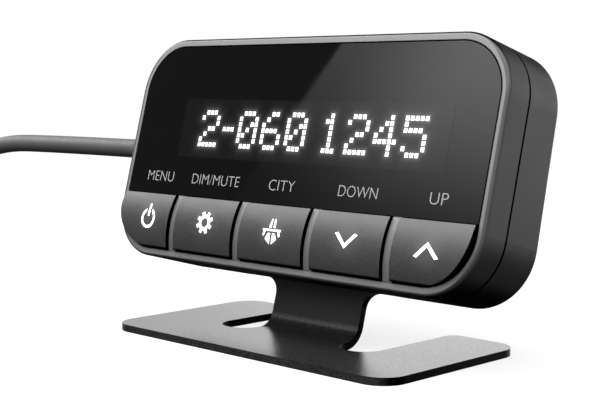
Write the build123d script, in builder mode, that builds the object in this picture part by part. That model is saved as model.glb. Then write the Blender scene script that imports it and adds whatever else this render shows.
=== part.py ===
from build123d import *
from math import cos, pi, radians, sin, tan
import os

# A display and keypad unit that leans back on a bent sheet stand, with its cable coiled beside it.
# Millimetres. +X is the unit's right, +Y its back, +Z up. The origin is under the middle of the stand.

# Driving dimensions: the unit, in its own face frame. There x is across, v is up the face from the
# line between glass and buttons, and depth runs back from the glass.
TILT = 14.64
FACE_Y = -5.8
FACE_Z = 21.17
WIDTH = 74.5
TOP = 25.98
BOTTOM = -10.25
CORNER = 8.9
DEPTH = 12.2
BACK_AT_TOP = 12.0
BACK_AT_FOOT = 13.05
SEAM_FRONT = 4.6
SEAM_GAP = 0.3
RIM = 1.2
EDGE_ROUND = 0.5
BACK_ROUND = 0.8
WALL = 1.2
SKIRT = 1.0
FIT = 0.05

# Window and display
GLASS = 1.2
GLASS_GAP = 0.2
GLASS_FOOT = 0.06
LEDGE_BACK = 2.2
DISPLAY_X = 1.8
DISPLAY_V = 11.1
DISPLAY_SIZE = (58.0, 14.8, 1.9)
DISPLAY_OPENING = (58.6, 15.2)
HOLDER_SIZE = (57.0, 14.0)
HOLDER_OPENING = (50.0, 8.0)

# Buttons
PITCH = 14.93
SPACING = 1.75
DIVIDER = 1.57
DIVIDER_DROP = 0.65
CAP_TOP = -0.15
CAP_FOOT = -8.85
CAP_MIDDLE = -4.5
PROUD_TOP = 0.5
PROUD_MIDDLE = 1.25
PROUD_FOOT = 0.45
CAP_BACK = 2.85
FLANGE = 0.45
FLANGE_FRONT = 2.25
TRAVEL = 0.3
ICON_BACK = 0.2

# Board and what it carries
BOARD_FRONT = 4.3
BOARD_BACK = 5.3
SWITCH_SIZE = (4.2, 3.4, 1.0)
STEM_R = 0.8

# Screws
BOSS_R = 2.2
HOUSING_SCREWS = [(-32.1, 21.0), (32.1, 21.0), (-33.6, 3.0), (33.6, 3.0)]
BOARD_SCREWS = [(-20.0, 21.4), (20.0, 21.4), (-22.4, 1.75), (22.4, 1.75)]
STAND_SCREWS = [(-11.0, -4.5), (11.0, -4.5), (-11.0, 10.5), (11.0, 10.5)]
BOSS_MEET = 5.5
HEAD_SEAT = 9.6

# Stand
SHEET = 1.13
BASE_SIZE = (57.15, 30.56)
BASE_CORNER = 4.0
NOTCH_HALF = 16.07
NOTCH_FRONT = -4.75
NECK_HALF = 9.05
SLOT_ROUND = 3.4
WING_ROUND = 1.8
BEND = 2.8
PLATE_FRONT = 11.6
PLATE_HALF = 15.5
PLATE_FOOT = -10.2
PLATE_TOP = 15.0
PLATE_CORNER = 3.0
FLARE = 2.5

# Cable
CABLE_D = 3.3
EXIT_V = 8.52
EXIT_DEPTH = 7.8
BOOT_LENGTH = 8.0
LIFT = 0.8
COIL_R = 16.5
COIL_TURNS_WIDE = 3
COIL_TURNS_HIGH = 4
COIL_TURNS = 10.25
COIL_CENTRE = (-102.7, -20.0)
PLUG_START = (-72.0, -33.9, 3.6)

# Worked out
lean = radians(TILT)
UP = Vector(0, sin(lean), cos(lean))
OUT = Vector(0, -cos(lean), sin(lean))
FACE = Plane(origin=(0, FACE_Y, FACE_Z), x_dir=(1, 0, 0), z_dir=OUT)
MIDDLE_V = (TOP + BOTTOM) / 2
HEIGHT = TOP - BOTTOM
SEAM_BACK = SEAM_FRONT + SEAM_GAP
PLATE_BACK = PLATE_FRONT + SHEET
BUTTON_EDGES = [
    (-WIDTH / 2 + RIM + GLASS_GAP, -1.5 * PITCH - SPACING / 2),
    (-1.5 * PITCH + SPACING / 2, -0.5 * PITCH - SPACING / 2),
    (-0.5 * PITCH + SPACING / 2, 0.5 * PITCH - SPACING / 2),
    (0.5 * PITCH + SPACING / 2, 1.5 * PITCH - SPACING / 2),
    (1.5 * PITCH + SPACING / 2, WIDTH / 2 - RIM - GLASS_GAP),
]
ICON_PLACES = [(-28.15, -3.95), (-14.5, -4.0), (0.35, -4.2), (14.85, -4.2), (29.25, -4.2)]


def at_depth(depth):
    """The face plane, moved back by a depth; its normal points out at the user."""
    return FACE.offset(-depth)


def across(x):
    """The section plane at x: first axis up the face, second axis out at the user."""
    return Plane(origin=(x, FACE_Y, FACE_Z), x_dir=UP, z_dir=(1, 0, 0))


def outline(inset):
    """The unit's rounded outline, moved in from its walls."""
    with Locations((0, MIDDLE_V)):
        RectangleRounded(WIDTH - 2 * inset, HEIGHT - 2 * inset, CORNER - inset)


def slab(inset, front, back, mode=Mode.ADD):
    """A layer of the unit's outline between two depths."""
    with BuildSketch(at_depth(back)) as layer:
        outline(inset)
    extrude(layer.sketch, amount=back - front, mode=mode)


def block(size, centre, front, back, mode=Mode.ADD):
    """A rectangular layer on the face between two depths."""
    with BuildSketch(at_depth(back)) as layer:
        with Locations(centre):
            Rectangle(*size)
    extrude(layer.sketch, amount=back - front, mode=mode)


def rounds(radius, places, front, back, mode=Mode.ADD):
    """Round layers on the face between two depths."""
    with BuildSketch(at_depth(back)) as layer:
        with Locations(places):
            Circle(radius)
    extrude(layer.sketch, amount=back - front, mode=mode)


def bulge(top, foot, drop, back):
    """The section of the button row: a shallow arc in front of a flat back."""
    start = (top, PROUD_TOP - drop)
    end = (foot, PROUD_FOOT - drop)
    with BuildLine() as edge:
        ThreePointArc(start, (CAP_MIDDLE, PROUD_MIDDLE - drop), end)
        Polyline(end, (foot, -back), (top, -back), start)
    make_face(edge.line)


def save(builder, label):
    builder.part.label = label
    export_step(builder.part, f"parts/{label}.step")


os.makedirs("parts", exist_ok=True)

# Front housing: rim, ledge behind the glass, cap openings, dividers, posts and screw bosses
with BuildPart() as front_housing:
    slab(0, 0, SEAM_FRONT)
    fillet(front_housing.faces().sort_by(Axis(FACE.origin, OUT))[-1].edges(), EDGE_ROUND)
    slab(RIM, 0, GLASS, Mode.SUBTRACT)
    slab(SKIRT, LEDGE_BACK, SEAM_FRONT, Mode.SUBTRACT)
    block(DISPLAY_OPENING, (DISPLAY_X, DISPLAY_V), GLASS, LEDGE_BACK, Mode.SUBTRACT)
    with BuildSketch(at_depth(LEDGE_BACK)):
        outline(RIM)
        with Locations((0, CAP_TOP + GLASS_GAP + HEIGHT / 2)):
            Rectangle(WIDTH, HEIGHT, mode=Mode.SUBTRACT)
    extrude(amount=LEDGE_BACK, mode=Mode.SUBTRACT)
    for step in (-1.5, -0.5, 0.5, 1.5):
        with BuildSketch(across(step * PITCH - DIVIDER / 2)):
            bulge(CAP_TOP + GLASS_GAP, BOTTOM + RIM, DIVIDER_DROP, LEDGE_BACK)
        extrude(amount=DIVIDER)
    rounds(BOSS_R, HOUSING_SCREWS, LEDGE_BACK, BOSS_MEET)
    rounds(1.0, HOUSING_SCREWS, 3.0, BOSS_MEET, Mode.SUBTRACT)
    rounds(1.3, BOARD_SCREWS, LEDGE_BACK, BOARD_FRONT)
    rounds(0.65, BOARD_SCREWS, 2.5, BOARD_FRONT, Mode.SUBTRACT)
save(front_housing, "front_housing")

# Window, display and what holds it
with BuildPart() as display_window:
    slab(RIM + GLASS_GAP, 0, GLASS)
    block((WIDTH, HEIGHT), (0, GLASS_FOOT - HEIGHT / 2), -1, GLASS + 1, Mode.SUBTRACT)
save(display_window, "display_window")

DISPLAY_BACK = GLASS + DISPLAY_SIZE[2]
with BuildPart() as display_module:
    block(DISPLAY_SIZE[:2], (DISPLAY_X, DISPLAY_V), GLASS, DISPLAY_BACK)
save(display_module, "display_module")

with BuildPart() as display_holder:
    block(HOLDER_SIZE, (DISPLAY_X, DISPLAY_V), DISPLAY_BACK, BOARD_FRONT)
    block(HOLDER_OPENING, (DISPLAY_X, DISPLAY_V), DISPLAY_BACK, BOARD_FRONT, Mode.SUBTRACT)
save(display_holder, "display_holder")

FLEX = 0.2
with BuildPart() as display_flex:
    with BuildSketch(across(DISPLAY_X - 6.0)):
        with BuildLine():
            Polyline(
                (DISPLAY_V + 3.0, -DISPLAY_BACK), (DISPLAY_V - 1.0, -DISPLAY_BACK),
                (DISPLAY_V - 1.0, FLEX - BOARD_FRONT), (DISPLAY_V - 3.0, FLEX - BOARD_FRONT),
                (DISPLAY_V - 3.0, -BOARD_FRONT), (DISPLAY_V - 1.0 + FLEX, -BOARD_FRONT),
                (DISPLAY_V - 1.0 + FLEX, -DISPLAY_BACK - FLEX), (DISPLAY_V + 3.0, -DISPLAY_BACK - FLEX),
                close=True,
            )
        make_face()
    extrude(amount=12.0)
save(display_flex, "display_flex")


# Icons, each drawn about its own centre
def power_icon():
    with Locations((0, -0.35)):
        Circle(1.65)
        Circle(1.2, mode=Mode.SUBTRACT)
    with Locations((0, 1.0)):
        Rectangle(1.3, 1.6, mode=Mode.SUBTRACT)
        Rectangle(0.42, 2.05)


def gear_icon():
    Circle(1.25)
    with PolarLocations(1.38, 8, start_angle=22.5):
        Rectangle(0.74, 0.6)
    Circle(0.72, mode=Mode.SUBTRACT)


def polygon(corners):
    """A face with the given corners in the sketch that is open."""
    with BuildLine() as edge:
        Polyline(*corners, close=True)
    make_face(edge.line)


def bridge_icon():
    for side in (-1, 1):
        polygon([(side * 0.17, 1.95), (side * 0.4, 1.95), (side * 0.68, 0.62), (side * 0.19, 0.62)])
        polygon([(side * 0.19, -0.2), (side * 0.72, -0.2), (side * 1.2, -1.1), (side * 0.19, -1.85)])
        polygon([(side * 1.2, 0.1), (side * 1.6, 0.1), (side * 1.8, -0.6), (side * 1.5, -0.7)])
    with Locations((0, 0.25)):
        Rectangle(3.7, 0.3)


def chevron_icon(way):
    right = [(0, way * 1.12), (2.1, -way * 0.95), (1.5, -way * 1.12), (0, way * 0.42)]
    polygon(right + [(-1.5, -way * 1.12), (-2.1, -way * 0.95)])


def draw_icon(index):
    if index == 0:
        power_icon()
    elif index == 1:
        gear_icon()
    elif index == 2:
        bridge_icon()
    else:
        chevron_icon(-1 if index == 3 else 1)


def icon_prism(index, mode):
    with BuildSketch(at_depth(ICON_BACK)) as layer:
        with Locations(ICON_PLACES[index]):
            with BuildSketch(mode=Mode.PRIVATE) as icon:
                draw_icon(index)
            add(icon.sketch)
    extrude(layer.sketch, amount=ICON_BACK + 2 * PROUD_MIDDLE, mode=mode)


# Each button: a cap with a flange behind the dividers, its icon insert and the switch stem behind it
for index, (left, right) in enumerate(BUTTON_EDGES):
    with BuildPart() as button_cap:
        with BuildSketch(across(left)):
            bulge(CAP_TOP, CAP_FOOT, 0, CAP_BACK)
        extrude(amount=right - left)
        flange_left = left - (FLANGE if index > 0 else 0)
        flange_right = right + (FLANGE if index < 4 else 0)
        flange_size = (flange_right - flange_left, CAP_TOP + FLANGE - CAP_FOOT)
        flange_middle = ((flange_left + flange_right) / 2, (CAP_TOP + FLANGE + CAP_FOOT) / 2)
        block(flange_size, flange_middle, FLANGE_FRONT, CAP_BACK)
        slab(RIM + GLASS_GAP, -2 * PROUD_MIDDLE, CAP_BACK, Mode.INTERSECT)
        icon_prism(index, Mode.SUBTRACT)
    save(button_cap, f"button_cap_{index + 1}")

    with BuildPart() as icon_insert:
        with BuildSketch(across(left)):
            bulge(CAP_TOP, CAP_FOOT, 0, ICON_BACK)
        extrude(amount=right - left)
        icon_prism(index, Mode.INTERSECT)
    save(icon_insert, f"icon_insert_{index + 1}")

    with BuildPart() as switch_stem:
        rounds(STEM_R, [ICON_PLACES[index]], CAP_BACK, BOARD_FRONT - TRAVEL - 0.15)
    save(switch_stem, f"switch_stem_{index + 1}")

    with BuildPart() as tact_switch:
        switch_front = BOARD_FRONT - SWITCH_SIZE[2]
        block(SWITCH_SIZE[:2], ICON_PLACES[index], switch_front, BOARD_FRONT)
        rounds(STEM_R + FIT, [ICON_PLACES[index]], switch_front, BOARD_FRONT - 0.1, Mode.SUBTRACT)
    save(tact_switch, f"tact_switch_{index + 1}")

# Main board and its components
with BuildPart() as main_board:
    with BuildSketch(at_depth(BOARD_BACK)):
        with Locations((0, 7.9)):
            RectangleRounded(69.2, 32.2, 6.5)
        with Locations(HOUSING_SCREWS):
            Circle(BOSS_R + 0.3, mode=Mode.SUBTRACT)
        with Locations(BOARD_SCREWS):
            Circle(0.7, mode=Mode.SUBTRACT)
    extrude(amount=BOARD_BACK - BOARD_FRONT)
save(main_board, "main_board")

with BuildPart() as backlight_lamps:
    for x, v in ICON_PLACES:
        block((1.6, 0.8), (x + 3.4, v), BOARD_FRONT - 0.6, BOARD_FRONT)
save(backlight_lamps, "backlight_lamps")

with BuildPart() as controller_chip:
    block((9.0, 9.0), (6.0, 8.0), BOARD_BACK, BOARD_BACK + 1.2)
save(controller_chip, "controller_chip")

with BuildPart() as small_chips:
    for x, v in [(16.0, 18.0), (17.0, 3.0), (8.0, -4.0), (-6.0, -4.0), (26.0, 14.0)]:
        block((3.2, 2.4), (x, v), BOARD_BACK, BOARD_BACK + 0.9)
save(small_chips, "small_chips")

BUZZER_PLACE = [(0.0, 17.0)]
with BuildPart() as buzzer:
    rounds(4.5, BUZZER_PLACE, BOARD_BACK, BOARD_BACK + 3.0)
    rounds(0.8, BUZZER_PLACE, BOARD_BACK + 2.0, BOARD_BACK + 3.0, Mode.SUBTRACT)
save(buzzer, "buzzer")

# Cable entry: header on the board, plug in it, inner lead, and the boot in the side wall
PLUG_X = -28.5
with BuildPart() as board_header:
    block((6.0, 8.0), (-25.5, EXIT_V), BOARD_BACK, EXIT_DEPTH + 2.2)
    block((5.0, 6.2), (-26.0, EXIT_V), EXIT_DEPTH - 1.6, EXIT_DEPTH + 1.6, Mode.SUBTRACT)
save(board_header, "board_header")

with BuildPart() as wire_plug:
    block((7.0, 6.0), (-27.5, EXIT_V), EXIT_DEPTH - 1.5, EXIT_DEPTH + 1.5)
save(wire_plug, "wire_plug")

EXIT = Vector(-WIDTH / 2, FACE_Y, FACE_Z) + UP * EXIT_V - OUT * EXIT_DEPTH
CABLE_AXIS = Plane(origin=EXIT, x_dir=(0, 0, 1), z_dir=(-1, 0, 0))
BOOT_INNER = WALL + 1.0
with BuildPart() as cable_boot:
    with BuildSketch(Plane(origin=EXIT, x_dir=(0, 0, 1), z_dir=(0, 1, 0))):
        with BuildLine():
            Polyline(
                (0, BOOT_INNER), (2.85, BOOT_INNER), (2.85, WALL), (2.15, WALL), (2.15, 0), (2.7, 0),
                (2.7, -1.0), (2.5, -1.4), (1.9, -BOOT_LENGTH), (0, -BOOT_LENGTH), close=True,
            )
        make_face()
    revolve(axis=Axis(EXIT, (-1, 0, 0)))
save(cable_boot, "cable_boot")

with BuildPart() as inner_lead:
    with BuildSketch(CABLE_AXIS.offset(-BOOT_INNER)):
        Circle(1.2)
    extrude(amount=BOOT_INNER - WIDTH / 2 + 31.0)
save(inner_lead, "inner_lead")

# Rear housing: shell with a sloping back and a tongue into the front, bosses, recess for the
# stand's plate, cable hole
with BuildPart() as rear_housing:
    slab(0, SEAM_BACK, BACK_AT_FOOT)
    with BuildSketch(across(-WIDTH)):
        with BuildLine():
            Polyline((TOP, -BACK_AT_TOP), (BOTTOM, -BACK_AT_FOOT), (TOP, -BACK_AT_FOOT), close=True)
        make_face()
    extrude(amount=2 * WIDTH, mode=Mode.SUBTRACT)
    fillet(rear_housing.faces().sort_by(Axis(FACE.origin, OUT))[0].edges(), BACK_ROUND)
    slab(WALL, SEAM_BACK, DEPTH - WALL, Mode.SUBTRACT)
    with BuildSketch(at_depth(SEAM_BACK)):
        outline(SKIRT + FIT)
        with BuildSketch(mode=Mode.PRIVATE) as hollow:
            outline(SKIRT + FIT + 0.8)
        add(hollow.sketch, mode=Mode.SUBTRACT)
        with Locations(HOUSING_SCREWS):
            Circle(BOSS_R + 0.2, mode=Mode.SUBTRACT)
    extrude(amount=0.8)
    rounds(BOSS_R, HOUSING_SCREWS, BOSS_MEET, DEPTH - WALL)
    rounds(2.4, STAND_SCREWS, 7.0, DEPTH - WALL)
    block((2 * PLATE_HALF + 0.4, PLATE_TOP - BOTTOM + 1.2), (0, (PLATE_TOP + BOTTOM) / 2 - 0.4),
          PLATE_FRONT, DEPTH + 1, Mode.SUBTRACT)
    rounds(1.1, HOUSING_SCREWS, BOSS_MEET, DEPTH + 1, Mode.SUBTRACT)
    rounds(1.95, HOUSING_SCREWS, HEAD_SEAT, DEPTH + 1, Mode.SUBTRACT)
    rounds(1.0, STAND_SCREWS, 7.6, PLATE_FRONT, Mode.SUBTRACT)
    with BuildSketch(CABLE_AXIS.offset(-WALL - 1)):
        Circle(2.2)
    extrude(amount=WALL + 2, mode=Mode.SUBTRACT)
save(rear_housing, "rear_housing")

with BuildPart() as housing_screws:
    rounds(0.95, HOUSING_SCREWS, 3.4, HEAD_SEAT)
    rounds(1.8, HOUSING_SCREWS, HEAD_SEAT, HEAD_SEAT + 1.3)
    with BuildSketch(at_depth(HEAD_SEAT + 1.3)):
        with Locations(HOUSING_SCREWS):
            RegularPolygon(0.85, 6)
    extrude(amount=0.8, mode=Mode.SUBTRACT)
save(housing_screws, "housing_screws")

with BuildPart() as board_screws:
    rounds(0.6, BOARD_SCREWS, 2.7, BOARD_BACK)
    rounds(1.3, BOARD_SCREWS, BOARD_BACK, BOARD_BACK + 0.8)
save(board_screws, "board_screws")

# Stand, from one flat blank: the base plate, and a tab out of its notch that bends up into the
# neck and the back plate, which is no wider than the notch
BASE_BACK = BASE_SIZE[1] / 2
BEND_TURN = 90 - TILT
NECK_AT_TOP_FACE = FACE_Y + (PLATE_FRONT + (SHEET - FACE_Z) * sin(lean)) / cos(lean)
BEND_START = NECK_AT_TOP_FACE - BEND * tan(radians(BEND_TURN / 2))
BEND_CENTRE = (BEND_START, SHEET + BEND)
NECK_Y = BEND_CENTRE[0] + BEND * cos(lean)
NECK_Z = BEND_CENTRE[1] - BEND * sin(lean)
NECK_V = (NECK_Y - FACE_Y) * sin(lean) + (NECK_Z - FACE_Z) * cos(lean)
with BuildPart() as stand:
    with BuildSketch() as base_plate:
        RectangleRounded(*BASE_SIZE, BASE_CORNER)
        for side in (-1, 1):
            slot_middle = side * (NOTCH_HALF + NECK_HALF) / 2
            with Locations((slot_middle, NOTCH_FRONT + BASE_BACK)):
                with BuildSketch(mode=Mode.PRIVATE) as slot:
                    RectangleRounded(NOTCH_HALF - NECK_HALF, 2 * BASE_BACK, SLOT_ROUND)
                add(slot.sketch, mode=Mode.SUBTRACT)
        with Locations((0, BEND_START + BASE_BACK)):
            Rectangle(2 * NECK_HALF + 2, 2 * BASE_BACK, mode=Mode.SUBTRACT)
        corners = base_plate.vertices()
        wing_tips = [v for v in corners if v.Y > BASE_BACK - 0.1 and abs(v.X) < NOTCH_HALF + 0.1]
        fillet(wing_tips, WING_ROUND)
    extrude(amount=SHEET)
    with BuildSketch(Plane.YZ.offset(-NECK_HALF)):
        with BuildLine():
            CenterArc(BEND_CENTRE, BEND, -90, BEND_TURN)
            CenterArc(BEND_CENTRE, BEND + SHEET, -90, BEND_TURN)
            Line((BEND_START, SHEET), (BEND_START, 0))
            Line((NECK_Y, NECK_Z), (NECK_Y + SHEET * cos(lean), NECK_Z - SHEET * sin(lean)))
        make_face()
    extrude(amount=2 * NECK_HALF)
    with BuildSketch(at_depth(PLATE_BACK)) as back_plate:
        with Locations((0, (NECK_V + PLATE_TOP) / 2)):
            Rectangle(2 * NECK_HALF, PLATE_TOP - NECK_V)
        with Locations((0, (PLATE_FOOT + PLATE_TOP) / 2)):
            Rectangle(2 * PLATE_HALF, PLATE_TOP - PLATE_FOOT)
        corners = back_plate.vertices()
        inner = [v for v in corners if abs(abs(v.X) - NECK_HALF) < 0.1 and v.Y > NECK_V + 1]
        outer = [v for v in corners if abs(abs(v.X) - PLATE_HALF) < 0.1]
        fillet(inner, FLARE)
        fillet(outer, PLATE_CORNER)
        with Locations(STAND_SCREWS):
            Circle(1.3, mode=Mode.SUBTRACT)
    extrude(amount=SHEET)
save(stand, "stand")

with BuildPart() as stand_screws:
    rounds(0.95, STAND_SCREWS, 8.0, PLATE_BACK)
    rounds(2.2, STAND_SCREWS, PLATE_BACK, PLATE_BACK + 1.3)
    with BuildSketch(at_depth(PLATE_BACK + 1.3)):
        with Locations(STAND_SCREWS):
            RegularPolygon(0.9, 6)
    extrude(amount=0.8, mode=Mode.SUBTRACT)
save(stand_screws, "stand_screws")

# Cable: straight out of the boot, down to the floor, into the coil, and out of it to the plug
COIL_BOTTOM = LIFT + CABLE_D / 2
OUTER_TURN = COIL_R + (COIL_TURNS_WIDE - 1) / 2 * CABLE_D
COIL_LEFT = COIL_CENTRE[0] - OUTER_TURN
COIL_FRONT = COIL_CENTRE[1] - OUTER_TURN
TAIL_Z = COIL_BOTTOM + (COIL_TURNS_HIGH - 1) * CABLE_D
CABLE_ROUTE = [
    (EXIT.X - BOOT_LENGTH, EXIT.Y, EXIT.Z),
    (-68.0, EXIT.Y, EXIT.Z),
    (-92.0, 3.8, 27.0),
    (-108.6, 3.4, 19.0),
    (-117.6, -1.5, 10.5),
    (COIL_LEFT, -8.5, 5.0),
    (COIL_LEFT, COIL_CENTRE[1], COIL_BOTTOM),
]
TAIL_ROUTE = [
    (COIL_CENTRE[0], COIL_FRONT, TAIL_Z),
    (-90.5, COIL_FRONT, 9.0),
    (-82.0, -35.0, PLUG_START[2]),
    PLUG_START,
]


def tube(name, route, radius):
    """A tube along straight runs joined by tangent arcs, each as large as its two runs allow."""
    points = [Vector(*place) for place in route]
    ways = [(b - a).normalized() for a, b in zip(points, points[1:])]
    runs = [(b - a).length for a, b in zip(points, points[1:])]
    reach = points[0]
    with BuildPart() as made:
        with BuildLine() as path:
            for index in range(1, len(points) - 1):
                before, after = ways[index - 1], ways[index]
                tangent = 0.45 * min(runs[index - 1], runs[index])
                half_turn = radians(before.get_angle(after)) / 2
                arc_start = points[index] - before * tangent
                arc_end = points[index] + after * tangent
                Line(reach, arc_start)
                TangentArc(arc_start, arc_end, tangent=before)
                print(name, "run", round(runs[index - 1], 1), "radius", round(tangent / tan(half_turn), 1))
                reach = arc_end
            Line(reach, points[-1])
        with BuildSketch(Plane(origin=points[0], z_dir=ways[0])):
            Circle(radius)
        sweep()
    length = sum(edge.length for edge in path.edges())
    print(name, "length", round(length, 1), "volume", round(made.part.volume, 1), "=",
          round(pi * radius**2 * length, 1))
    save(made, name)


tube("cable_run", CABLE_ROUTE, CABLE_D / 2)
tube("cable_tail", TAIL_ROUTE, CABLE_D / 2)

COIL_WIDE = COIL_TURNS_WIDE * CABLE_D
COIL_HIGH = COIL_TURNS_HIGH * CABLE_D
with BuildPart() as cable_coil:
    with BuildSketch(Plane.XZ.offset(-COIL_CENTRE[1])):
        with Locations((COIL_CENTRE[0] + COIL_R, LIFT + COIL_HIGH / 2)):
            RectangleRounded(COIL_WIDE, COIL_HIGH, CABLE_D / 2)
    revolve(axis=Axis((*COIL_CENTRE, 0), (0, 0, 1)))
save(cable_coil, "cable_coil")
print("coil length", round(2 * pi * COIL_R * COIL_TURNS))

TIE = 0.7
with BuildPart() as cable_tie:
    with BuildSketch(Plane.XZ.offset(-COIL_CENTRE[1] - 2.0)):
        with Locations((COIL_CENTRE[0] + COIL_R, LIFT + COIL_HIGH / 2)):
            RectangleRounded(COIL_WIDE + 2 * TIE + 0.5, COIL_HIGH + 2 * TIE, 1.5)
            RectangleRounded(COIL_WIDE + 0.5, COIL_HIGH, 0.8, mode=Mode.SUBTRACT)
    extrude(amount=4.0)
save(cable_tie, "cable_tie")

# Far plug: moulded body with a tapered neck, metal shell and contact insert
NECK_LENGTH = 7.0
BODY_LENGTH = 13.0
SHELL_LENGTH = 6.5
plug_way = Vector(*TAIL_ROUTE[-1]) - Vector(*TAIL_ROUTE[-2])
plug_way = Vector(plug_way.X, plug_way.Y, 0).normalized()
PLUG = Plane(origin=PLUG_START, x_dir=(-plug_way.Y, plug_way.X, 0), z_dir=plug_way)
with BuildPart() as plug_body:
    with BuildSketch(PLUG):
        Circle(2.1)
    with BuildSketch(PLUG.offset(NECK_LENGTH)):
        Circle(2.9)
    loft()
    with BuildSketch(PLUG.offset(NECK_LENGTH)):
        RectangleRounded(10.0, 6.8, 1.6)
    extrude(amount=BODY_LENGTH)
save(plug_body, "plug_body")

with BuildPart() as plug_shell:
    with BuildSketch(PLUG.offset(NECK_LENGTH + BODY_LENGTH)):
        RectangleRounded(7.0, 3.0, 0.8)
        RectangleRounded(6.4, 2.4, 0.5, mode=Mode.SUBTRACT)
    extrude(amount=SHELL_LENGTH)
save(plug_shell, "plug_shell")

with BuildPart() as plug_insert:
    with BuildSketch(PLUG.offset(NECK_LENGTH + BODY_LENGTH)):
        Rectangle(5.4, 0.9)
    extrude(amount=SHELL_LENGTH - 0.8)
save(plug_insert, "plug_insert")
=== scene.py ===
from math import cos, exp, hypot, pi, radians, sin

import bpy
from mathutils import Matrix, Vector


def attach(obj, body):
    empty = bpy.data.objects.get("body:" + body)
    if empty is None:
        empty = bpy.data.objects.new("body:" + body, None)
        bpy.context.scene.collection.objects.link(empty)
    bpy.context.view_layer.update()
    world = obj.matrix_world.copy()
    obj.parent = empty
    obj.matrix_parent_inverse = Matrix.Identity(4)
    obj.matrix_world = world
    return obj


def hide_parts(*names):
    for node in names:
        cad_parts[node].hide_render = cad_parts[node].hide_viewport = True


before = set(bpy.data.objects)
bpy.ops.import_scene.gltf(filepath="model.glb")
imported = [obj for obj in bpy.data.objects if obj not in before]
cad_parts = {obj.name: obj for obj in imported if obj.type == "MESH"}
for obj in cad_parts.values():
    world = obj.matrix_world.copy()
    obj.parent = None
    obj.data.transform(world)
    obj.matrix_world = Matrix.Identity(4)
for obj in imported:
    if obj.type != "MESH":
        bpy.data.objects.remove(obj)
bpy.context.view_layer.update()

# The unit's face frame, as the CAD has it: x across, v up the face, out towards the user. Millimetres.
MM = 0.001
TILT = 14.64
FACE_Y = -5.8
FACE_Z = 21.17
WIDTH = 74.5
HEIGHT = 36.23
MIDDLE_V = 7.865
CORNER = 8.9
SEAM = (-4.9, -4.6)
lean = radians(TILT)
ACROSS = Vector((1, 0, 0))
UP = Vector((0, sin(lean), cos(lean)))
OUT = Vector((0, -cos(lean), sin(lean)))
FACE_ORIGIN = Vector((0, FACE_Y, FACE_Z)) * MM


def face(x, v, out):
    """A point on the face, in metres."""
    return FACE_ORIGIN + MM * (x * ACROSS + v * UP + out * OUT)


# Camera: at the photograph's viewing angle. Place in millimetres, angles in degrees.
CAMERA_PLACE = (132.4, -138.3, 39.1)
CAMERA_TURN = 44.11
CAMERA_TILT = -5.23
CAMERA_ROLL = 0.25
LENS = 76.3
SENSOR_WIDTH = 36
CLIP = (0.01, 100)


def make_camera():
    turn, tilt, roll = radians(CAMERA_TURN), radians(CAMERA_TILT), radians(CAMERA_ROLL)
    right = Vector((cos(turn), sin(turn), 0))
    ahead = Vector((-sin(turn) * cos(tilt), cos(turn) * cos(tilt), sin(tilt)))
    above = right.cross(ahead)
    side = cos(roll) * right + sin(roll) * above
    top = cos(roll) * above - sin(roll) * right
    data = bpy.data.cameras.new("camera")
    data.lens = LENS
    data.sensor_width = SENSOR_WIDTH
    data.clip_start, data.clip_end = CLIP
    camera = bpy.data.objects.new("camera", data)
    matrix = Matrix((side, top, -ahead)).transposed().to_4x4()
    matrix.translation = Vector(CAMERA_PLACE) * MM
    camera.matrix_world = matrix
    bpy.context.collection.objects.link(camera)
    bpy.context.scene.camera = camera


make_camera()

# Cable: the CAD's route, with the coil's turns between its two stretches. Millimetres.
CABLE_D = 3.3
BOOT_END = (-45.25, 3.9, 27.442)
COIL_CENTRE = (-102.7, -20.0)
COIL_OUTER = 19.8
COIL_BOTTOM = 2.45
COIL_TURNS = 10.25
COIL_LAYERS = 4
# In turns: a layer, how early it starts, where in it the cable steps to the next ring, and a step
LAYER_TURNS = 2.6
LAYER_LEAD = 0.05
RING_STEPS = (0.8, 1.8)
STEP_TURNS = 0.2
TURN_POINTS = 16
COIL_LEFT = COIL_CENTRE[0] - COIL_OUTER
CABLE_ROUTE = [
    BOOT_END,
    (-68.0, 3.9, 27.442),
    (-92.0, 3.8, 27.0),
    (-108.6, 3.4, 19.0),
    (-117.6, -1.5, 10.5),
    (COIL_LEFT, -8.5, 5.0),
]
TAIL_ROUTE = [
    (-90.5, COIL_CENTRE[1] - COIL_OUTER, 9.0),
    (-82.0, -35.0, 3.6),
    (-72.0, -33.9, 3.6),
]


def ease(value, start, end):
    """0 before start, 1 after end, and smooth between them."""
    share = min(1.0, max(0.0, (value - start) / (end - start)))
    return share * share * (3 - 2 * share)


def coil_points():
    """Layers of three rings, wound inwards and outwards in turn, anticlockwise from the left."""
    points = []
    for index in range(1, round(COIL_TURNS * TURN_POINTS) + 1):
        turn = index / TURN_POINTS
        inward = 0
        climbed = 0
        for layer in range(COIL_LAYERS):
            start = layer * LAYER_TURNS - LAYER_LEAD
            way = 1 if layer % 2 == 0 else -1
            for ring_step in RING_STEPS:
                inward += way * ease(turn, start + ring_step, start + ring_step + STEP_TURNS)
            if layer > 0:
                climbed += ease(turn, start, start + STEP_TURNS)
        reach = (COIL_OUTER - CABLE_D * inward) / cos(pi / TURN_POINTS)
        angle = pi + 2 * pi * turn
        x = COIL_CENTRE[0] + reach * cos(angle)
        y = COIL_CENTRE[1] + reach * sin(angle)
        points.append((x, y, COIL_BOTTOM + CABLE_D * climbed))
    return points


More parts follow.
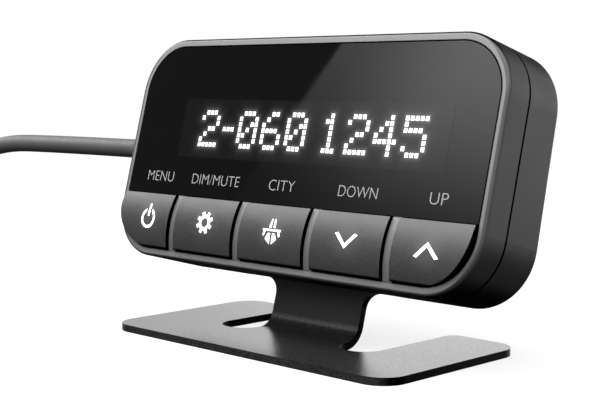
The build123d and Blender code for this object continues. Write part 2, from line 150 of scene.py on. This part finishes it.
def make_cable():
    """The tube's radius is on its points, because a curve's bounding box counts that and not its bevel."""
    data = bpy.data.curves.new("cable", "CURVE")
    data.dimensions = "3D"
    data.bevel_depth = 1.0
    data.bevel_resolution = 6
    data.resolution_u = 8
    data.use_fill_caps = True
    places = CABLE_ROUTE + coil_points() + TAIL_ROUTE
    spline = data.splines.new("NURBS")
    spline.points.add(len(places) - 1)
    for point, place in zip(spline.points, places):
        point.co = (*[MM * number for number in place], 1)
        point.radius = CABLE_D / 2 * MM
    spline.order_u = 3
    spline.use_endpoint_u = True
    spline.use_smooth = True
    made = bpy.data.objects.new("cable", data)
    bpy.context.collection.objects.link(made)
    return made


cable = make_cable()
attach(cable, "unit")
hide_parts("cable_run", "cable_coil", "cable_tail")

# Studio: the camera sees white; the object is lit and mirrored by soft panels drawn on the sky.
# A fade says where it starts and where it ends along a direction, and levels are the light there.
WHITE = (1, 1, 1, 1)
DARK_LEVEL = 0.05
HORIZON_FADE = (-0.35, 0.08)
BACK_FADE = (-0.15, 0.25)
# In front: a dark flag beside a panel that fades downwards and towards its edge. The window mirrors
# that slanting edge, and this direction is square to it, towards the panel
PANEL_SIDE = (0.598, -0.7716, -0.216)
FLAG_FADE = (-0.002, 0.002)
FLAG_LEVEL = 0.09
PANEL_HEIGHT_FADE = (0.26, 0.43)
PANEL_LEVELS = (0.3, 2.75)
PANEL_SIDE_FADE = (0.0, 0.1)
PANEL_SIDE_SHARES = (0.42, 1.0)
# Above both: a large soft box, whose lower edge comes down towards the sides
BOX_UP = (0, 0.3, 1)
BOX_FADE = (0.2, 0.45)
BOX_LEFT_FADE = (-0.6, 0.1)
BOX_LEVELS = (2.5, 6.0)
# Behind: a low bright screen, strongest in its middle, under a dark ceiling
SCREEN_FADES = ((-0.1, 0.35), (0.62, 0.78))
SCREEN_LEVELS = (1.65, 3.1, 1.9)
CEILING_FADE = (0.2, 0.4)
# Floor: pale paper near the object that turns into plain light further away
FLOOR_REACH = 20.0
FLOOR_FADE = (0.25, 0.6)
FLOOR_SHADE = 0.98
FLOOR_GLOW = 0.8


def grey(level):
    return (level, level, level, 1)


class Tree:
    """Adds nodes to a node tree, and links or sets their inputs."""

    def __init__(self, tree):
        self.tree = tree

    def feed(self, socket, value):
        if isinstance(value, bpy.types.NodeSocket):
            self.tree.links.new(value, socket)
        else:
            socket.default_value = value

    def node(self, kind, inputs=None, **settings):
        made = self.tree.nodes.new("ShaderNode" + kind)
        for name, value in settings.items():
            setattr(made, name, value)
        for name, value in (inputs or {}).items():
            self.feed(made.inputs[name], value)
        return made

    def calc(self, operation, *values):
        return self.node("Math", dict(enumerate(values)), operation=operation).outputs[0]

    def vector(self, operation, first, second, output="Value"):
        return self.node("VectorMath", {0: first, 1: second}, operation=operation).outputs[output]

    def slide(self, value, low, high, at_low=0.0, at_high=1.0):
        """at_low below low, at_high above high, and smoothly from one to the other in between."""
        inputs = {"Value": value, "From Min": low, "From Max": high, "To Min": at_low, "To Max": at_high}
        return self.node("MapRange", inputs, interpolation_type="SMOOTHSTEP").outputs["Result"]

    def blend(self, share, first, second):
        """Between two colours; a plain number stands for a grey."""
        first, second = [grey(colour) if isinstance(colour, float) else colour for colour in (first, second)]
        return self.node("Mix", {0: share, 6: first, 7: second}, data_type="RGBA").outputs[2]


def make_sky():
    world = bpy.data.worlds.new("studio")
    world.use_nodes = True
    bpy.context.scene.world = world
    sky = Tree(world.node_tree)
    way = sky.node("TexCoord").outputs["Generated"]
    height = sky.node("SeparateXYZ", {0: way}).outputs["Z"]
    back, left, up_front, side = [
        sky.vector("DOT_PRODUCT", way, towards) for towards in ((0, 1, 0), (-1, 0, 0), BOX_UP, PANEL_SIDE)]
    down_share = sky.slide(height, *PANEL_HEIGHT_FADE, *PANEL_LEVELS)
    panel = sky.calc("MULTIPLY", down_share, sky.slide(side, *PANEL_SIDE_FADE, *PANEL_SIDE_SHARES))
    low_front = sky.blend(sky.slide(side, *FLAG_FADE), FLAG_LEVEL, panel)
    soft_box = sky.slide(left, *BOX_LEFT_FADE, *BOX_LEVELS)
    front = sky.blend(sky.slide(up_front, *BOX_FADE), low_front, soft_box)
    rise = sky.slide(left, *SCREEN_FADES[0], *SCREEN_LEVELS[:2])
    fall = sky.slide(left, *SCREEN_FADES[1], *SCREEN_LEVELS[1:])
    screen = sky.calc("MINIMUM", rise, fall)
    behind = sky.blend(sky.slide(height, *CEILING_FADE), screen, DARK_LEVEL)
    above = sky.blend(sky.slide(back, *BACK_FADE), front, behind)
    light = sky.blend(sky.slide(height, *HORIZON_FADE), DARK_LEVEL, above)
    seen = sky.node("LightPath").outputs["Is Camera Ray"]
    background = world.node_tree.nodes["Background"]
    sky.feed(background.inputs["Strength"], 1.0)
    sky.feed(background.inputs["Color"], sky.blend(seen, light, WHITE))


def make_floor():
    data = bpy.data.meshes.new("floor")
    corners = [(x * FLOOR_REACH, y * FLOOR_REACH, 0) for x, y in ((-1, -1), (1, -1), (1, 1), (-1, 1))]
    data.from_pydata(corners, [], [(0, 1, 2, 3)])
    floor = bpy.data.objects.new("floor", data)
    bpy.context.collection.objects.link(floor)
    floor.visible_glossy = False
    floor.visible_diffuse = False
    material = bpy.data.materials.new("floor")
    material.use_nodes = True
    data.materials.append(material)
    tree = Tree(material.node_tree)
    place = tree.node("TexCoord").outputs["Object"]
    away = tree.vector("LENGTH", place, (0, 0, 0))
    paper = tree.node("BsdfDiffuse", {"Color": grey(FLOOR_SHADE)})
    glow = tree.node("Emission", {"Color": WHITE})
    mixed = tree.node("MixShader", {0: tree.slide(away, *FLOOR_FADE, FLOOR_GLOW, 1.0)})
    tree.feed(mixed.inputs[1], paper.outputs[0])
    tree.feed(mixed.inputs[2], glow.outputs[0])
    tree.feed(material.node_tree.nodes["Material Output"].inputs["Surface"], mixed.outputs[0])


bpy.context.scene.view_settings.view_transform = "Standard"
make_sky()
make_floor()


# Materials. Sizes are in millimetres on the object; colours are linear.
# Between these lies most of a noise, and most of the sum of two
NOISE = (0.3, 0.7)
TWO_NOISES = (0.6, 1.4)


class Finish(Tree):
    """One procedural material on a Principled shader, in the object's own coordinates."""

    def __init__(self, name):
        self.material = bpy.data.materials.new(name)
        self.material.use_nodes = True
        super().__init__(self.material.node_tree)
        self.surface = self.tree.nodes["Principled BSDF"]
        self.place = self.node("TexCoord").outputs["Object"]

    def set(self, name, value):
        self.feed(self.surface.inputs[name], value)

    def grain(self, size, detail=2.0, rough=0.5):
        """Noise with features of about that size, from 0 to 1."""
        inputs = {"Vector": self.place, "Scale": 1 / (size * MM), "Detail": detail, "Roughness": rough}
        return self.node("TexNoise", inputs).outputs["Fac"]

    def measure(self, way):
        """How far from the face's origin in a direction, in millimetres."""
        from_origin = self.vector("SUBTRACT", self.place, FACE_ORIGIN, "Vector")
        return self.calc("MULTIPLY", self.vector("DOT_PRODUCT", from_origin, way), 1 / MM)

    def facing(self, way):
        """1 where the surface faces that way, 0 where it is square to it, -1 where it faces away."""
        return self.vector("DOT_PRODUCT", self.node("TexCoord").outputs["Normal"], way)

    def inset(self):
        """How far inside the unit's rounded outline, in millimetres."""
        places = {"X": self.measure(ACROSS), "Y": self.calc("SUBTRACT", self.measure(UP), MIDDLE_V)}
        place = self.vector("ABSOLUTE", self.node("CombineXYZ", places).outputs[0], (0, 0, 0), "Vector")
        square = (WIDTH / 2 - CORNER, HEIGHT / 2 - CORNER, 0)
        past = self.vector("SUBTRACT", place, square, "Vector")
        parts = self.node("SeparateXYZ", {0: past})
        inner = self.calc("MINIMUM", self.calc("MAXIMUM", parts.outputs["X"], parts.outputs["Y"]), 0.0)
        outer = self.vector("LENGTH", self.vector("MAXIMUM", past, (0, 0, 0), "Vector"), (0, 0, 0))
        return self.calc("SUBTRACT", CORNER, self.calc("ADD", inner, outer))

    def paint_shade(self, share, colour):
        """Painted shade: black without gloss where share is 1, as in a deep gap."""
        self.set("Base Color", self.blend(share, colour, 0.0))
        self.set("Metallic", share)

    def relief(self, height, depth, strength=1.0):
        """Bump: height from 0 to 1 stands for that depth in millimetres."""
        bump = self.node("Bump", {"Height": height, "Distance": depth * MM, "Strength": strength})
        self.set("Normal", bump.outputs["Normal"])

    def colour(self, share, first, second):
        """The base colour, between two colours or greys as blend has them."""
        self.set("Base Color", self.blend(share, first, second))


def moulded_finish(name, level, texture=0.12, depth=0.004):
    """Moulded plastic: a fine even texture, with slight mottling in colour and gloss."""
    made = Finish(name)
    mottle = made.grain(6.0)
    fine = made.grain(texture, 3.0)
    made.colour(mottle, 0.88 * level, 1.12 * level)
    made.set("Roughness", made.slide(made.calc("ADD", mottle, fine), *TWO_NOISES, 0.45, 0.55))
    made.relief(fine, depth)
    return made.material


# Housing, in face millimetres. A fade says where it starts and where it ends.
# The rim: where it ends inwards, with a thin painted shadow line there, and the bevel outside its flat front
RIM = 1.2
RIM_SHADOW_LINE = 0.12
BEVEL_FADE = (0.55, 0.75)
BEVEL_LESS = 0.3
LONG_SIDES_FADE = (14.0, 17.5)
FRONT_FADE = (-0.25, -0.18)
# The flat rim's grey: partly its own paler tone, partly painted highlight that grows lighter towards the top
RIM_GREY_AND_HIGHLIGHT = (0.108, 0.18)
RIM_HIGHLIGHT_HEIGHT = (-10.0, 26.0)
BODY_GREYS = (0.026, 0.033)
# Painted shade in the gaps, black: inside the walls and behind the front, down to a depth, and the seam with
# its soft sides
INNER_FADE = (0.9, 1.1)
CAVITY_BACK_FADE = (-4.4, -4.2)
CAVITY_FRONT_FADE = (-0.5, -0.25)
SEAM_SOFT = 0.07
# Painted shade: a share of black towards the foot; black and duller where the surface lies level
FOOT_HEIGHT = (-7.0, 9.0)
FOOT_SHADE = 0.2
LYING_FADE = (0.45, 0.85)
LYING_DULL = 0.4


def housing_finish():
    """Satin black, with the flat rim and the dividers in a lighter grey that is partly painted highlight, and
    painted shade: black in its gaps and on what lies level, darker towards the foot.
    """
    made = Finish("housing")
    fine = made.grain(0.13, 3.0)
    mottle = made.grain(7.0)
    out, up, inset = made.measure(OUT), made.measure(UP), made.inset()
    # The flat front of the rim and the dividers, within a bevel that is narrower on the long sides,
    # and without a thin line where the rim ends, left dark there as painted shadow
    from_middle = made.calc("ABSOLUTE", made.calc("SUBTRACT", up, MIDDLE_V))
    past_bevel = made.calc("ADD", inset, made.slide(from_middle, *LONG_SIDES_FADE, 0.0, BEVEL_LESS))
    flat = made.calc("MULTIPLY", made.slide(past_bevel, *BEVEL_FADE), made.slide(out, *FRONT_FADE))
    from_rim = made.calc("ABSOLUTE", made.calc("SUBTRACT", inset, RIM))
    edge = made.calc("MULTIPLY", flat, made.slide(from_rim, 0.0, RIM_SHADOW_LINE))
    body = made.blend(mottle, *BODY_GREYS)
    # Painted highlight: the rim's grey grows lighter towards the top
    rim_and_highlight = made.blend(made.slide(up, *RIM_HIGHLIGHT_HEIGHT), *RIM_GREY_AND_HIGHLIGHT)
    # Painted shade, black: in the gaps behind the front between the walls, and along the seam
    inside = made.calc("MULTIPLY", made.slide(inset, *INNER_FADE), made.slide(out, *CAVITY_BACK_FADE))
    cavity_shade = made.calc("MULTIPLY", inside, made.slide(out, *CAVITY_FRONT_FADE, 1.0, 0.0))
    seam_shade = made.calc("COMPARE", out, sum(SEAM) / 2, (SEAM[1] - SEAM[0]) / 2 + SEAM_SOFT)
    # Painted shade: a little darker towards the foot, and black and dull on what lies level, less so on the
    # rim
    foot_shade_share = made.slide(up, *FOOT_HEIGHT, FOOT_SHADE, 0.0)
    foot_shade = made.calc("MULTIPLY", foot_shade_share, made.slide(edge, 0.0, 0.2, 1.0, 0.0))
    lying = made.slide(made.calc("ABSOLUTE", made.facing((0, 0, 1))), *LYING_FADE)
    level_shade = made.calc("MULTIPLY", lying, made.slide(edge, 0.2, 0.6, 1.0, 0.5))
    painted_shade = made.calc("MAXIMUM", made.calc("MAXIMUM", foot_shade, level_shade), made.calc("MAXIMUM", cavity_shade, seam_shade))
    made.paint_shade(painted_shade, made.blend(edge, body, rim_and_highlight))
    rough = made.slide(made.calc("ADD", mottle, fine), *TWO_NOISES, 0.40, 0.50)
    made.set("Roughness", made.calc("ADD", rough, made.calc("MULTIPLY", level_shade, LYING_DULL)))
    made.relief(fine, 0.0035)
    return made.material


# Smears on the window, as grain has them, and how rough its gloss is
SMEAR_GRAIN = (9.0, 4.0, 0.6)
GLOSS_ROUGHNESS = (0.012, 0.03)


def window_finish():
    """Gloss black panel: faint smears in the gloss, and hardly any colour; its edges are black as painted
    shade in the gap round it.
    """
    made = Finish("window")
    smear = made.grain(*SMEAR_GRAIN)
    shade = made.blend(smear, 0.0015, 0.0025)
    # Painted shade: black where the panel does not face out
    made.paint_shade(made.slide(made.facing(OUT), 0.3, 0.7, 1.0, 0.0), shade)
    made.set("Roughness", made.slide(smear, *NOISE, *GLOSS_ROUGHNESS))
    return made.material


# Button caps, in face millimetres: black at the foot as painted shade, and lit round the icon at the top of
# the bulge
CAP_FOOT_SHADE_FADE = (-8.75, -8.5)
CAP_TOP = 1.2
ICON_REACH = (1.0, 4.2)
ICON_BLEED = 0.03


def cap_finish(index, centre):
    """Satin button, with light from its icon bleeding into the plastic round it, and painted shade, black, on
    its sides and at its foot.
    """
    made = Finish(f"button_{index}")
    fine = made.grain(0.2, 2.0)
    mottle = made.grain(5.0)
    shade = made.blend(made.slide(fine, *NOISE), 0.019, 0.036)
    # Painted shade: black on the sides and at the foot
    sides = made.slide(made.facing(OUT), 0.5, 0.8, 1.0, 0.0)
    foot_shade = made.slide(made.measure(UP), *CAP_FOOT_SHADE_FADE, 1.0, 0.0)
    made.paint_shade(made.calc("MAXIMUM", sides, foot_shade), shade)
    made.set("Roughness", made.slide(made.calc("ADD", mottle, fine), *TWO_NOISES, 0.36, 0.44))
    made.relief(fine, 0.006)
    away = made.vector("DISTANCE", made.place, face(*centre, CAP_TOP))
    near = made.slide(away, *[MM * reach for reach in ICON_REACH], 1.0, 0.0)
    made.set("Emission Color", WHITE)
    made.set("Emission Strength", made.calc("MULTIPLY", made.calc("POWER", near, 2.0), ICON_BLEED))
    return made.material


def lit_finish(name, strength, low=0.85):
    """White, lit from behind, a little uneven."""
    made = Finish(name)
    made.set("Base Color", grey(0.8))
    made.set("Roughness", 0.4)
    made.set("Emission Color", WHITE)
    uneven = made.slide(made.grain(0.6), *NOISE, strength * low, strength)
    made.set("Emission Strength", uneven)
    return made.material


def stand_finish():
    """Powder coat: a fine pebbled skin with tiny brighter grains, and painted shade, black, on the faces that
    look to either side.
    """
    made = Finish("stand_paint")
    pebble = made.grain(0.24, 2.0, 0.6)
    shade = made.blend(made.slide(pebble, 0.35, 0.7), 0.006, 0.026)
    # Painted shade: black on the faces that look to either side
    made.paint_shade(made.slide(made.calc("ABSOLUTE", made.facing(ACROSS)), 0.5, 0.9), shade)
    made.set("Roughness", made.slide(pebble, *NOISE, 0.27, 0.33))
    made.relief(pebble, 0.012, 0.8)
    return made.material


def cable_finish():
    """Matt vinyl sheath with small scuffs."""
    made = Finish("soft_black")
    scuff = made.grain(1.4, 5.0, 0.65)
    made.colour(scuff, 0.05, 0.07)
    made.set("Roughness", made.slide(scuff, *NOISE, 0.5, 0.66))
    made.relief(made.grain(0.25, 3.0), 0.004)
    return made.material


# Streaks in plated metal, in millimetres
STREAK_WIDTH = 0.08
STREAK_LENGTH = 2.0


def metal_finish(name, level, rough):
    """Plated metal with fine streaks."""
    made = Finish(name)
    stretch = [1 / (size * MM) for size in (STREAK_WIDTH, STREAK_LENGTH, STREAK_WIDTH)]
    stretched = made.node("Mapping", {"Vector": made.place, "Scale": stretch})
    inputs = {"Vector": stretched.outputs[0], "Scale": 1.0, "Detail": 3.0}
    streak = made.node("TexNoise", inputs).outputs["Fac"]
    made.colour(streak, 0.85 * level, level)
    made.set("Metallic", 1.0)
    made.set("Roughness", made.slide(streak, *NOISE, rough - 0.06, rough + 0.06))
    made.relief(streak, 0.002)
    return made.material


# Millimetres from thread to thread
THREAD_PITCH = 0.9865
# The wave texture goes through this many radians in one unit of its coordinates
WAVE_RADIANS = 20


def woven_finish():
    """Hook and loop band: a fine cross weave with a fuzzy face."""
    made = Finish("tie")
    scale = 2 * pi / WAVE_RADIANS / (THREAD_PITCH * MM)
    inputs = {"Vector": made.place, "Scale": scale, "Distortion": 1.5}
    waves = [made.node("TexWave", inputs, bands_direction=way).outputs["Fac"] for way in ("X", "Y", "Z")]
    crossed = made.calc("MULTIPLY", made.calc("ADD", waves[0], waves[2]), 0.5)
    weave = made.calc("MAXIMUM", crossed, waves[1])
    made.colour(weave, 0.012, 0.04)
    made.set("Roughness", 0.9)
    made.relief(made.calc("ADD", weave, made.grain(0.1)), 0.05)
    return made.material


# One unit of the brick texture in millimetres; its rows are a quarter of a unit high
BRICK_UNIT = 4.0


def board_finish():
    """Green solder mask with copper tracks under it."""
    made = Finish("board")
    brick = made.node("TexBrick", {"Vector": made.place, "Scale": 1 / (BRICK_UNIT * MM), "Mortar Size": 0.03})
    track = made.slide(brick.outputs["Fac"], 0.2, 0.8)
    made.colour(track, (0.008, 0.07, 0.025, 1), (0.02, 0.14, 0.05, 1))
    made.set("Roughness", made.slide(made.grain(1.0), *NOISE, 0.25, 0.4))
    made.relief(track, 0.03)
    return made.material


def tinted_finish(name, colour, rough=0.5):
    """Plain moulding or film in a colour, faintly mottled."""
    made = Finish(name)
    mottle = made.grain(2.0)
    made.colour(mottle, (*[0.85 * channel for channel in colour], 1), (*colour, 1))
    made.set("Roughness", made.slide(mottle, *NOISE, rough - 0.06, rough + 0.06))
    made.relief(made.grain(0.1), 0.002)
    return made.material


def put_on(name, material):
    """Gives a CAD node one material, whatever it came with."""
    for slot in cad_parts[name].material_slots:
        slot.link = "OBJECT"
        slot.material = material


# The middle of each icon, in face millimetres
ICON_PLACES = [(-28.15, -3.95), (-14.5, -4.0), (0.35, -4.2), (14.85, -4.2), (29.25, -4.2)]
chip_black = moulded_finish("chip", 0.02)
white_moulding = tinted_finish("light_plastic", (0.7, 0.68, 0.62))
soft_black = cable_finish()
black_screw = metal_finish("black_screw", 0.06, 0.38)
housing = housing_finish()
finishes = {
    "front_housing": housing,
    "rear_housing": housing,
    "display_window": window_finish(),
    "display_module": tinted_finish("display", (0.03, 0.03, 0.035), 0.15),
    "display_holder": white_moulding,
    "display_flex": tinted_finish("flex", (0.45, 0.2, 0.04), 0.35),
    "main_board": board_finish(),
    "backlight_lamps": lit_finish("lamps", 0.6),
    "controller_chip": chip_black,
    "small_chips": chip_black,
    "buzzer": chip_black,
    "board_header": white_moulding,
    "wire_plug": white_moulding,
    "cable_boot": soft_black,
    "inner_lead": soft_black,
    "housing_screws": black_screw,
    "board_screws": metal_finish("steel", 0.6, 0.3),
    "stand": stand_finish(),
    "stand_screws": black_screw,
    "cable_tie": woven_finish(),
    "plug_body": moulded_finish("plug_body", 0.028, 0.2, 0.008),
    "plug_shell": metal_finish("plug_shell", 0.65, 0.25),
    "plug_insert": chip_black,
}
icon_light = lit_finish("icon", 0.98)
for number, centre in enumerate(ICON_PLACES, 1):
    finishes[f"button_cap_{number}"] = cap_finish(number, centre)
    finishes[f"icon_insert_{number}"] = icon_light
    finishes[f"switch_stem_{number}"] = white_moulding
    finishes[f"tact_switch_{number}"] = chip_black
for name, material in finishes.items():
    put_on(name, material)
cable.data.materials.append(soft_black)


# Display: a dot matrix of lit pixels on a slightly paler field, showing plain digits. Face millimetres.
FIELD_X = (-25.4, 29.0)
FIELD_V = (6.35, 15.9)
FIELD_PROUD = 0.02
FIELD_SINK = 0.05
FIELD_CELL = 0.3
READOUT = "2-060 1245"
DOT_LEFT = -21.0
DOT_TOP = 14.15
DOT_PITCH_X = 0.87
DOT_PITCH_V = 0.865
DOT_SIZE = (0.62, 0.66)
DOT_PROUD = 0.05
DOT_SINK = 0.01
# The pixels' light on the field round them: how much, and how far it reaches
HALO_PARTS = ((0.8, 0.35), (0.2, 1.1))
HALO_LEVEL = 0.09
# Seven rows of each sign, from the top, with its lit pixels as ones
GLYPHS = {
    "0": "01110 10001 10011 10101 11001 10001 01110",
    "1": "00100 01100 00100 00100 00100 00100 01110",
    "2": "01110 10001 00001 00110 01000 10000 11111",
    "4": "00010 00110 01010 10010 11111 00010 00010",
    "5": "11111 10000 11110 00001 00001 10001 01110",
    "6": "00110 01000 10000 11110 10001 10001 01110",
    "-": "000 000 000 111 000 000 000",
    " ": "0 0 0 0 0 0 0",
}


def lit_dots():
    """The middle of each lit pixel, in face millimetres."""
    dots = []
    column = 0
    for letter in READOUT:
        rows = GLYPHS[letter].split()
        for row, bits in enumerate(rows):
            for step, bit in enumerate(bits):
                if bit == "1":
                    x = DOT_LEFT + (column + step + 0.5) * DOT_PITCH_X
                    dots.append((x, DOT_TOP - (row + 0.5) * DOT_PITCH_V))
        column += len(rows[0]) + 1
    return dots


def link_mesh(name, points, faces, material, body):
    """A new piece from points in metres, riding on a body."""
    data = bpy.data.meshes.new(name)
    data.from_pydata(points, [], faces)
    data.validate()
    data.materials.append(material)
    made = bpy.data.objects.new(name, data)
    bpy.context.collection.objects.link(made)
    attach(made, body)
    return made


def spaced(start, end, cell):
    """Even steps from start to end, about a cell apart."""
    steps = max(1, round((end - start) / cell))
    return [start + (end - start) * step / steps for step in range(steps + 1)]


def halo(x, v, dots):
    """How much light the pixels throw on a point of the display's field."""
    half_wide, half_high = DOT_SIZE[0] / 2, DOT_SIZE[1] / 2
    gaps = [(abs(x - dot_x) - half_wide, abs(v - dot_v) - half_high) for dot_x, dot_v in dots]
    gap = min(hypot(max(0, aside), max(0, above)) for aside, above in gaps)
    return sum(share * exp(-(gap / reach) ** 2) for share, reach in HALO_PARTS)


def field_finish():
    """The window's gloss again, slightly paler, with the halo that make_field stores."""
    made = Finish("display_field")
    smear = made.grain(*SMEAR_GRAIN)
    made.colour(smear, 0.004, 0.0055)
    made.set("Roughness", made.slide(smear, *NOISE, *GLOSS_ROUGHNESS))
    thrown = made.node("Attribute", attribute_name="halo").outputs["Fac"]
    made.set("Emission Color", WHITE)
    made.set("Emission Strength", made.calc("MULTIPLY", thrown, HALO_LEVEL))
    return made.material


def make_field(dots):
    """A thin closed slab on the window, finely divided in front to carry the pixels' halo."""
    xs, vs = spaced(*FIELD_X, FIELD_CELL), spaced(*FIELD_V, FIELD_CELL)
    wide = len(xs)
    points = [face(x, v, FIELD_PROUD) for v in vs for x in xs]
    faces = []
    for row in range(len(vs) - 1):
        for column in range(wide - 1):
            first = row * wide + column
            faces.append((first, first + 1, first + 1 + wide, first + wide))
    last = (len(vs) - 1) * wide
    ring = list(range(wide))
    ring += [row * wide + wide - 1 for row in range(1, len(vs))]
    ring += [last + column for column in range(wide - 2, -1, -1)]
    ring += [row * wide for row in range(len(vs) - 2, 0, -1)]
    behind = len(points)
    for index in ring:
        x, v = xs[index % wide], vs[index // wide]
        points.append(face(x, v, -FIELD_SINK))
    for step, index in enumerate(ring):
        after = (step + 1) % len(ring)
        faces.append((index, behind + step, behind + after, ring[after]))
    faces.append(tuple(range(len(points) - 1, behind - 1, -1)))
    made = link_mesh("display_field", points, faces, field_finish(), "unit")
    glow = made.data.attributes.new("halo", "FLOAT", "POINT")
    levels = [halo(x, v, dots) for v in vs for x in xs] + [0.0] * len(ring)
    glow.data.foreach_set("value", levels)


def box(low, high):
    """The corners and sides of a block in face millimetres, from its (x, v, out) corners."""
    xs, vs, outs = zip(low, high)
    points = [face(x, v, out) for out in outs for v in vs for x in xs]
    sides = [(0, 2, 3, 1), (4, 5, 7, 6), (0, 1, 5, 4), (2, 6, 7, 3), (0, 4, 6, 2), (1, 3, 7, 5)]
    return points, sides


def make_dots(dots):
    """One block for each pixel, all in one piece."""
    points, faces = [], []
    for x, v in dots:
        low = (x - DOT_SIZE[0] / 2, v - DOT_SIZE[1] / 2, FIELD_PROUD - DOT_SINK)
        high = (x + DOT_SIZE[0] / 2, v + DOT_SIZE[1] / 2, DOT_PROUD)
        corners, sides = box(low, high)
        start = len(points)
        points += corners
        faces += [tuple(start + index for index in side) for side in sides]
    link_mesh("display_dots", points, faces, lit_finish("dots", 0.95, 0.95), "unit")


dots = lit_dots()
make_field(dots)
make_dots(dots)

# Key labels: generic words for what the keys do, printed over them. Face millimetres, left and right.
LABELS = [
    ("MENU", -31.62, -25.24),
    ("DIM/MUTE", -20.64, -9.75),
    ("CITY", -3.22, 2.11),
    ("DOWN", 10.89, 18.17),
    ("UP", 27.38, 30.46),
]
LABEL_V = (2.1, 3.72)
LABEL_PROUD = 0.02
LABEL_SINK = 0.03
LABEL_GREY = (0.31, 0.31, 0.31)
STROKE_OFFSET = -0.017


def word_mesh(word):
    """A word as a closed mesh, lying in its own plane."""
    data = bpy.data.curves.new(word, "FONT")
    data.body = word
    data.extrude = 0.5
    data.offset = STROKE_OFFSET
    data.resolution_u = 4
    holder = bpy.data.objects.new(word, data)
    bpy.context.collection.objects.link(holder)
    bpy.context.view_layer.update()
    made = bpy.data.meshes.new_from_object(holder.evaluated_get(bpy.context.evaluated_depsgraph_get()))
    bpy.data.objects.remove(holder)
    return made


def make_labels():
    """All the words, each stretched to its place, in one piece."""
    points, faces = [], []
    low, high = LABEL_V
    for word, left, right in LABELS:
        mesh = word_mesh(word)
        places = [vertex.co.copy() for vertex in mesh.vertices]
        xs = [place.x for place in places]
        ys = [place.y for place in places]
        start = len(points)
        for place in places:
            x = left + (place.x - min(xs)) / (max(xs) - min(xs)) * (right - left)
            v = low + (place.y - min(ys)) / (max(ys) - min(ys)) * (high - low)
            points.append(face(x, v, LABEL_PROUD if place.z > 0 else -LABEL_SINK))
        faces += [tuple(start + index for index in side.vertices) for side in mesh.polygons]
        bpy.data.meshes.remove(mesh)
    link_mesh("key_labels", points, faces, tinted_finish("print", LABEL_GREY, 0.55), "unit")


make_labels()
